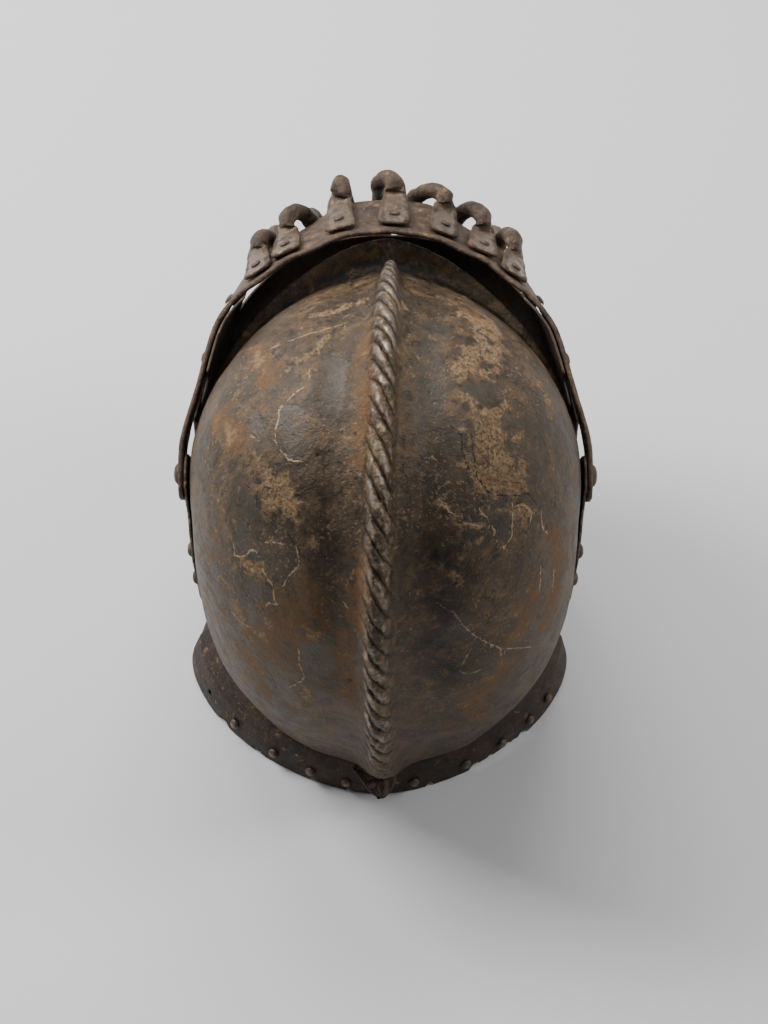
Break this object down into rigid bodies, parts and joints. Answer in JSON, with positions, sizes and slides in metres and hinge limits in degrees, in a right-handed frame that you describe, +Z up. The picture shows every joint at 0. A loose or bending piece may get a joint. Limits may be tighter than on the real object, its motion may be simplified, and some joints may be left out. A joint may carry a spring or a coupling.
{
  "type": "tournament helmet",
  "caption": "Iron helmet for the foot tourney: a bowl with a roped comb, a barred visor that turns on two side pivots, a bevor and a flared neck collar.",
  "frame": {"origin": "on the ground below the middle of the bounding box, under the collar's lower edge", "axes": "+X to the wearer's left, -Y the way the face looks, +Z up along the neck"},
  "size_m": [0.2334, 0.3245, 0.289],
  "materials": {
    "skull": "dark brown waxed patina over hammered iron, worn in patches",
    "visor": "rough brown patina on forged iron",
    "collar": "near-black patina on thin iron plate",
    "rivet": "brown iron, rubbed bright on the heads"
  },
  "bodies": {
    "helmet": {"skull": "skull", "bevor": "skull", "comb_tail": "skull", "collar_rear": "collar", "collar_front": "collar", "pivot_left": "rivet", "pivot_right": "rivet", "tail_rivet": "rivet", "bevor_rivet_left_1": "rivet", "bevor_rivet_left_2": "rivet", "bevor_rivet_right_1": "rivet", "bevor_rivet_right_2": "rivet", "collar_rivet_1": "rivet", "collar_rivet_2": "rivet", "collar_rivet_3": "rivet", "collar_rivet_4": "rivet", "collar_rivet_5": "rivet", "collar_rivet_6": "rivet", "collar_rivet_7": "rivet", "collar_rivet_8": "rivet", "collar_rivet_9": "rivet"},
    "visor": {"visor_band": "visor", "visor_lower_strap": "visor", "visor_cheek_left": "visor", "visor_cheek_right": "visor", "bar_1": "visor", "bar_2": "visor", "bar_3": "visor", "bar_4": "visor", "bar_5": "visor", "bar_6": "visor", "bar_7": "visor", "cheek_rivet_left_1": "rivet", "cheek_rivet_left_2": "rivet", "cheek_rivet_left_3": "rivet", "cheek_rivet_left_4": "rivet", "cheek_rivet_right_1": "rivet", "cheek_rivet_right_2": "rivet", "cheek_rivet_right_3": "rivet", "cheek_rivet_right_4": "rivet", "bar_rivet_1_upper": "rivet", "bar_rivet_1_lower": "rivet", "bar_rivet_2_upper": "rivet", "bar_rivet_2_lower": "rivet", "bar_rivet_3_upper": "rivet", "bar_rivet_3_lower": "rivet", "bar_rivet_4_upper": "rivet", "bar_rivet_4_lower": "rivet", "bar_rivet_5_upper": "rivet", "bar_rivet_5_lower": "rivet", "bar_rivet_6_upper": "rivet", "bar_rivet_6_lower": "rivet", "bar_rivet_7_upper": "rivet", "bar_rivet_7_lower": "rivet"}
  },
  "joints": [
    {"name": "visor_pivot", "type": "hinge", "parent": "helmet", "child": "visor", "pos_m": [0, 0.0325, 0.175], "axis": [-1, 0, 0], "range_deg": [0, 65]}
  ]
}
